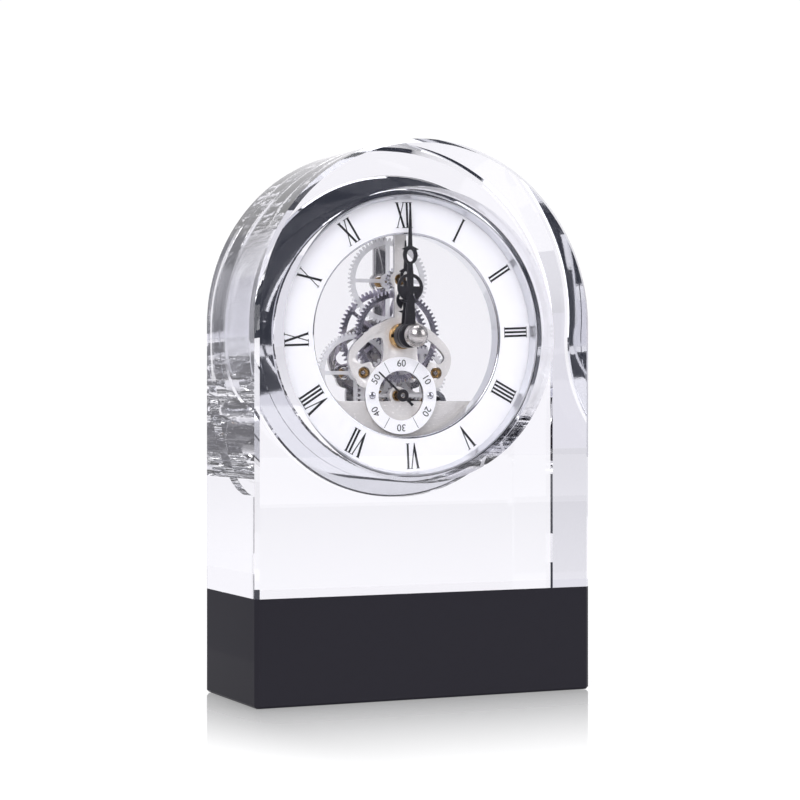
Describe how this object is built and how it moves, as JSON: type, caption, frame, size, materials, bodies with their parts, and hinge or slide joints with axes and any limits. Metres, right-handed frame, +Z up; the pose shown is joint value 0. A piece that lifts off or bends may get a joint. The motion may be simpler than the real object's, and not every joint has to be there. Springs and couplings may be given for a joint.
{
  "type": "crystal trophy clock",
  "caption": "Arch-topped clear crystal block on a black crystal base, with a round see-through quartz clock set into it from behind.",
  "frame": {"origin": "centre of the base's footprint, on the surface that it stands on", "axes": "+Z up, +X to the right for a person who reads the dial, +Y away from that person; the front face looks along -Y"},
  "size_m": [0.127, 0.05, 0.193],
  "materials": {
    "crystal": "polished clear crystal",
    "black_crystal": "polished black crystal",
    "chrome": "bright plated",
    "silver_dial": "satin silver white",
    "satin_plate": "satin, warm silver",
    "steel": "fine turned",
    "brass": "polished",
    "black_paint": "satin black",
    "pale_plastic": "moulded, off-white",
    "black_plastic": "fine grained",
    "clear_cover": "clear, polished",
    "copper": "lacquered copper wire",
    "board": "green circuit board",
    "battery_case": "plain printed sleeve without marks"
  },
  "bodies": {
    "clock_case": {"crystal_block": "crystal", "base_block": "black_crystal", "case_ring": "chrome", "dial_edge_ring": "chrome", "chapter_ring": "silver_dial", "seconds_dial": "silver_dial", "front_bridge": "satin_plate", "back_bridge": "satin_plate", "battery_housing": "satin_plate", "bridge_pillar": "steel", "seconds_dial_pin_left": "steel", "seconds_dial_pin_right": "steel", "stator": "steel", "coil_core": "steel", "quartz_can": "steel", "battery_contact_minus": "steel", "battery_contact_plus": "steel", "front_bush_top": "brass", "front_bush_left": "brass", "front_bush_right": "brass", "front_bush_seconds": "brass", "back_bush_centre": "brass", "back_bush_top": "brass", "back_bush_left": "brass", "back_bush_right": "brass", "back_bush_seconds": "brass", "back_bush_rotor": "brass", "centre_nut": "brass", "rear_cover": "clear_cover", "coil": "copper", "circuit_board": "board", "battery": "battery_case"},
    "minute_hand_set": {"minute_arbor": "steel", "minute_hand": "black_paint", "hand_nut": "chrome", "set_knob": "black_plastic"},
    "hour_hand_set": {"hour_wheel": "steel", "hour_hand": "black_paint"},
    "minute_wheel_set": {"minute_wheel": "pale_plastic", "minute_pinion": "steel"},
    "seconds_hand_set": {"seconds_arbor": "steel", "seconds_wheel": "pale_plastic", "seconds_hand": "black_paint"},
    "third_wheel_set": {"third_wheel": "pale_plastic", "third_pinion": "steel"},
    "centre_wheel_set": {"centre_wheel": "steel"},
    "middle_wheel_set": {"middle_wheel": "pale_plastic", "middle_pinion": "steel"},
    "rotor_set": {"rotor_magnet": "black_plastic", "rotor_pinion": "steel"},
    "battery_door_set": {"battery_door": "satin_plate"}
  },
  "joints": [
    {"name": "minute_hand_turn", "type": "hinge", "parent": "clock_case", "child": "minute_hand_set", "pos_m": [0, 0.01, 0.1255], "axis": [0, 1, 0], "continuous": true},
    {"name": "hour_hand_turn", "type": "hinge", "parent": "clock_case", "child": "hour_hand_set", "pos_m": [0, 0.01, 0.1255], "axis": [0, 1, 0], "continuous": true},
    {"name": "minute_wheel_turn", "type": "hinge", "parent": "clock_case", "child": "minute_wheel_set", "pos_m": [0, 0.01, 0.1455], "axis": [0, 1, 0], "continuous": true},
    {"name": "seconds_hand_turn", "type": "hinge", "parent": "clock_case", "child": "seconds_hand_set", "pos_m": [0, 0.01, 0.1045], "axis": [0, 1, 0], "continuous": true},
    {"name": "third_wheel_turn", "type": "hinge", "parent": "clock_case", "child": "third_wheel_set", "pos_m": [-0.014, 0.01, 0.1125], "axis": [0, 1, 0], "continuous": true},
    {"name": "centre_wheel_turn", "type": "hinge", "parent": "clock_case", "child": "centre_wheel_set", "pos_m": [0, 0.01, 0.1255], "axis": [0, 1, 0], "continuous": true},
    {"name": "middle_wheel_turn", "type": "hinge", "parent": "clock_case", "child": "middle_wheel_set", "pos_m": [0.014, 0.01, 0.1125], "axis": [0, 1, 0], "continuous": true},
    {"name": "rotor_turn", "type": "hinge", "parent": "clock_case", "child": "rotor_set", "pos_m": [0.0175, 0.01, 0.1018], "axis": [0, 1, 0], "continuous": true},
    {"name": "battery_door_pull", "type": "slide", "parent": "clock_case", "child": "battery_door_set", "axis": [0, 1, 0], "range_m": [0, 0.012]}
  ],
  "couplings": [
    {"joint": "hour_hand_turn", "follows": "minute_hand_turn", "ratio": 0.083333},
    {"joint": "minute_wheel_turn", "follows": "minute_hand_turn", "ratio": -0.33333},
    {"joint": "third_wheel_turn", "follows": "seconds_hand_turn", "ratio": -0.13333},
    {"joint": "centre_wheel_turn", "follows": "seconds_hand_turn", "ratio": 0.016667},
    {"joint": "middle_wheel_turn", "follows": "seconds_hand_turn", "ratio": -6},
    {"joint": "rotor_turn", "follows": "seconds_hand_turn", "ratio": 30}
  ]
}
